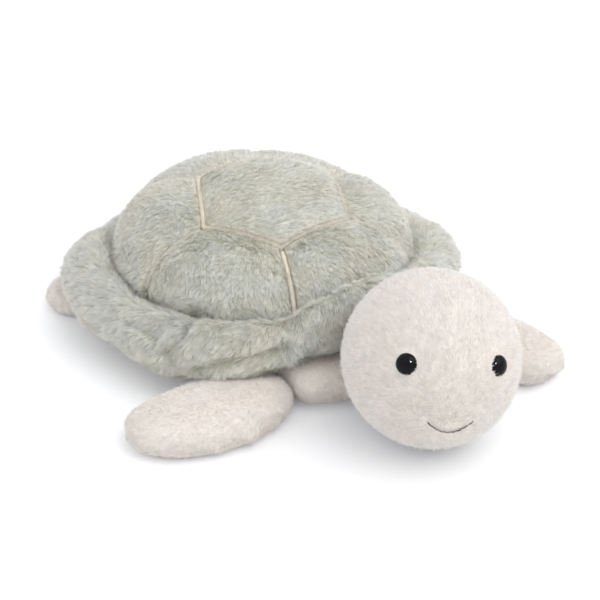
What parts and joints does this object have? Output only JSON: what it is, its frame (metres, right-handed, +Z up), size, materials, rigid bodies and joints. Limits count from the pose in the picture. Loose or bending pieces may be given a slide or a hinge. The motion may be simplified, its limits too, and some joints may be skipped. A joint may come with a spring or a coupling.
{
  "type": "plush sea turtle",
  "caption": "Plush sea turtle lying on its belly: sage shell with sewn panels and light piping, padded rim, cream head with black safety eyes, and cream flippers.",
  "frame": {"origin": "On the floor under the middle of the shell, which is the middle of the belly's flat underside", "axes": "+Z up from the floor, -Y towards the head, +Y towards the tail end, +X towards the turtle's own left side"},
  "size_m": [0.2696, 0.3267, 0.0988],
  "materials": {
    "sage_plush": "sage green plush with a pile of about 4 mm",
    "cream_plush": "cream plush with a fine short pile",
    "seam_piping": "thin cream cloth piping",
    "stuffing": "white polyester fibre filling",
    "eye_plastic": "polished black safety eye",
    "washer_plastic": "white moulded washer",
    "mouth_thread": "grey brown embroidery thread"
  },
  "bodies": {
    "shell": {"belly_cover": "cream_plush", "body_stuffing": "stuffing", "rim_cover": "sage_plush", "rim_stuffing": "stuffing", "scute_middle": "sage_plush", "piping_middle": "seam_piping", "scute_front_left": "sage_plush", "piping_seam_1": "seam_piping", "scute_rear_left": "sage_plush", "piping_seam_2": "seam_piping", "scute_rear": "sage_plush", "piping_seam_3": "seam_piping", "scute_rear_right": "sage_plush", "piping_seam_4": "seam_piping", "scute_front_right": "sage_plush", "piping_seam_5": "seam_piping", "scute_front": "sage_plush", "piping_seam_6": "seam_piping"},
    "neck": {"neck_collar": "cream_plush"},
    "head": {"head_cover": "cream_plush", "head_stuffing": "stuffing", "eye_right": "eye_plastic", "eye_washer_right": "washer_plastic", "eye_left": "eye_plastic", "eye_washer_left": "washer_plastic", "mouth_stitch": "mouth_thread"},
    "front_flipper_right": {"front_flipper_right_cover": "cream_plush", "front_flipper_right_stuffing": "stuffing"},
    "front_flipper_left": {"front_flipper_left_cover": "cream_plush", "front_flipper_left_stuffing": "stuffing"},
    "rear_flipper_right": {"rear_flipper_right_cover": "cream_plush", "rear_flipper_right_stuffing": "stuffing"},
    "rear_flipper_left": {"rear_flipper_left_cover": "cream_plush", "rear_flipper_left_stuffing": "stuffing"}
  },
  "joints": [
    {"name": "head_turn", "type": "hinge", "parent": "shell", "child": "neck", "pos_m": [-0.0095, -0.1635, 0.0496], "axis": [0, 0, 1], "range_deg": [-25, 35]},
    {"name": "head_nod", "type": "hinge", "parent": "neck", "child": "head", "pos_m": [-0.0095, -0.1635, 0.0496], "axis": [-0.8704, 0.4924, 0], "range_deg": [-10, 20]},
    {"name": "front_flipper_right_swing", "type": "hinge", "parent": "shell", "child": "front_flipper_right", "pos_m": [-0.07498, -0.09099, 0], "axis": [0, 0, 1], "range_deg": [-12, 50]},
    {"name": "front_flipper_left_swing", "type": "hinge", "parent": "shell", "child": "front_flipper_left", "pos_m": [0.06397, -0.09898, 0], "axis": [0, 0, 1], "range_deg": [0, 75]},
    {"name": "rear_flipper_right_swing", "type": "hinge", "parent": "shell", "child": "rear_flipper_right", "pos_m": [-0.08199, 0.06397, 0], "axis": [0, 0, 1], "range_deg": [-20, 20]},
    {"name": "rear_flipper_left_swing", "type": "hinge", "parent": "shell", "child": "rear_flipper_left", "pos_m": [0.08199, 0.06397, 0], "axis": [0, 0, 1], "range_deg": [-20, 20]}
  ]
}
